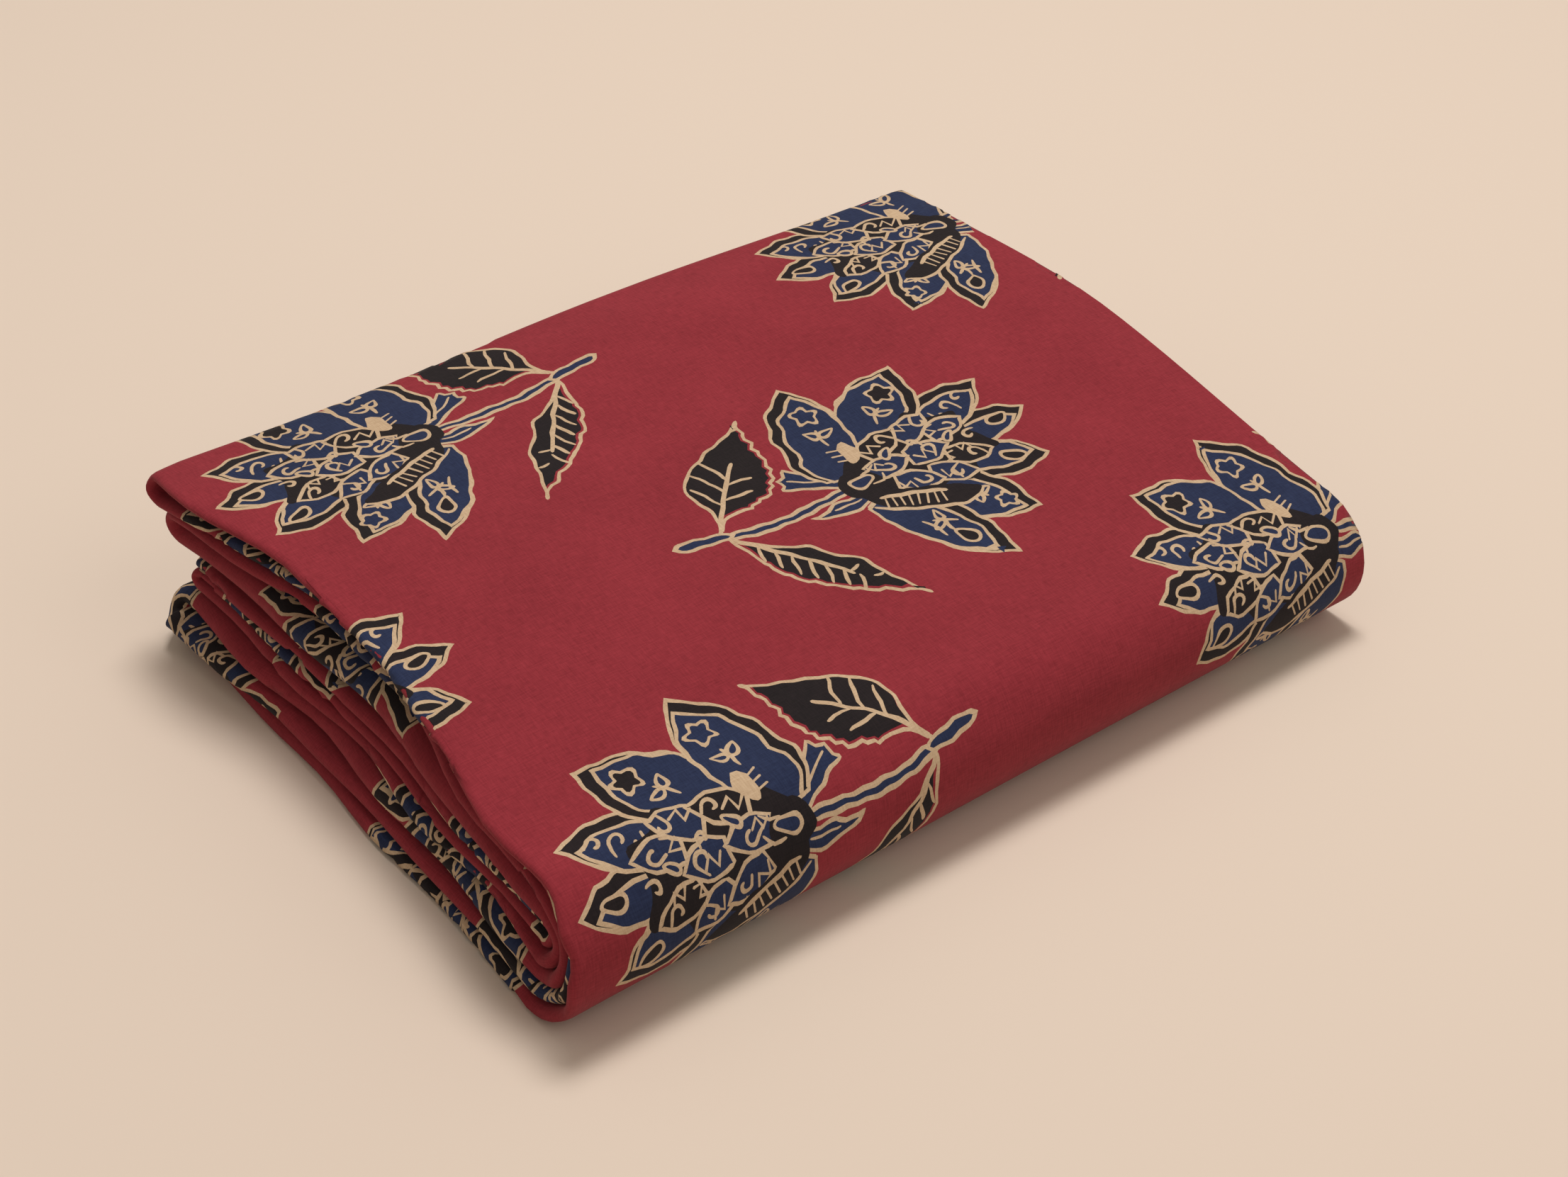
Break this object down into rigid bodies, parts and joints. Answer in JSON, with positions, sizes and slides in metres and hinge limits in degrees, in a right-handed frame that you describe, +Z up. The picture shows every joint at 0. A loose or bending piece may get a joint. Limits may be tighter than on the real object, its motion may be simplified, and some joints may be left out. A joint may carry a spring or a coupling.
{
  "type": "folded ajrakh cloth",
  "caption": "Folded length of block-printed cotton: layers laid back and forth and turned once round a front fold, resting flat on its underside.",
  "frame": {"origin": "on the surface, under the middle of the folded packet", "axes": "+X along the front fold, +Y from the front fold to the open back, +Z up"},
  "size_m": [0.302, 0.2295, 0.0668],
  "materials": {
    "printed_cotton": "matte plain weave, madder red ground"
  },
  "bodies": {
    "root": {"folded_cloth": "printed_cotton"}
  },
  "joints": []
}
